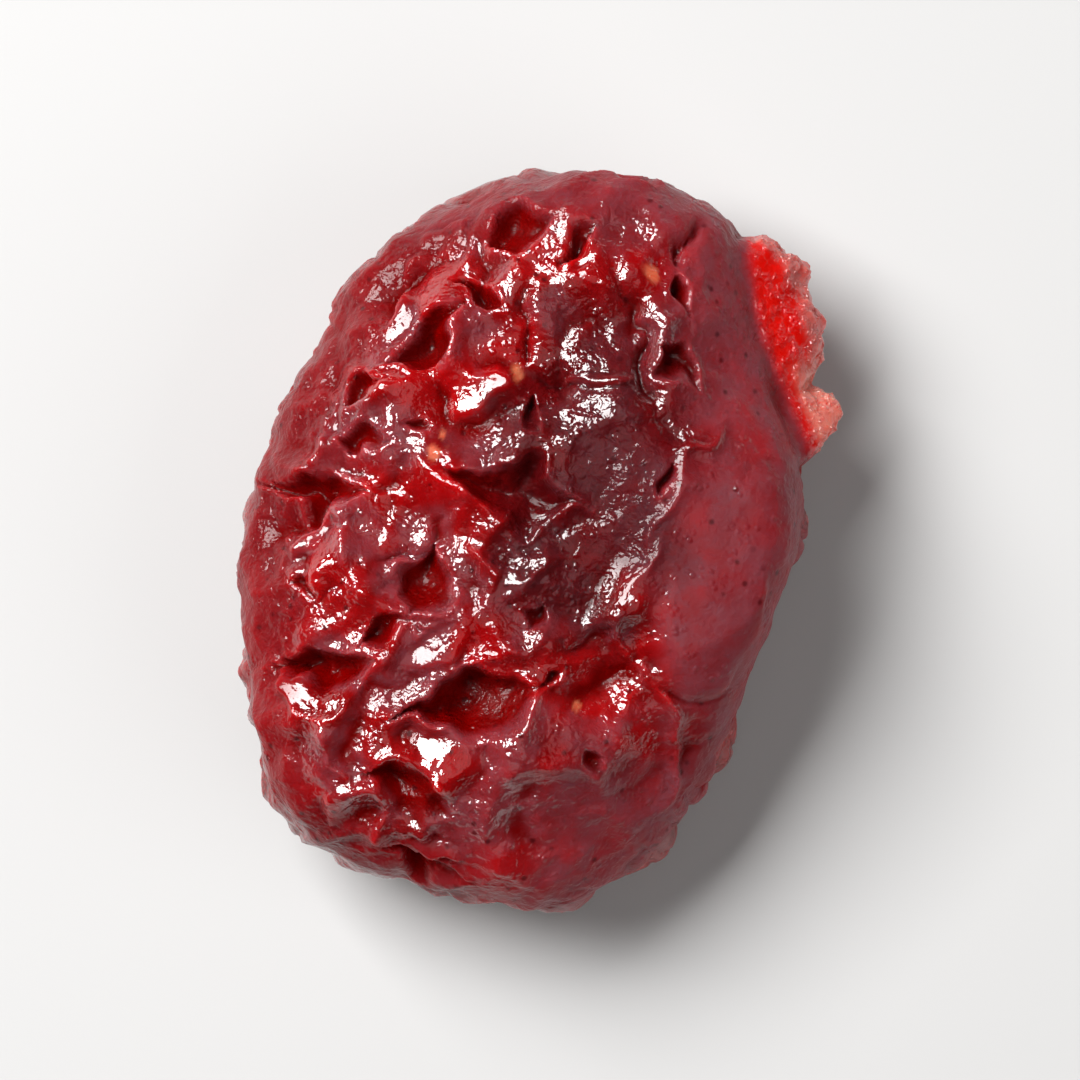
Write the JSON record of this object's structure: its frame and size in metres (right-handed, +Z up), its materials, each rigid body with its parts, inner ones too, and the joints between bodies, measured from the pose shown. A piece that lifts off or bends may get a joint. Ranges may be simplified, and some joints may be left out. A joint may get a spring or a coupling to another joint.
{
  "type": "dried cranberry",
  "caption": "Dried cranberry: a crumpled, glossy dark-red berry with folded skin and a torn lip of brighter flesh, lying on a small flat spot on its underside.",
  "frame": {"origin": "bottom centre of the overall box, on the plane that the berry lies on", "axes": "+X to the berry's right, towards its torn lip; +Y along the berry's long axis, towards its stem half; +Z up from the resting spot"},
  "size_m": [0.0128, 0.0158, 0.006],
  "materials": {
    "cranberry_skin": "moist, glossy"
  },
  "bodies": {
    "root": {"dried_cranberry": "cranberry_skin"}
  },
  "joints": []
}
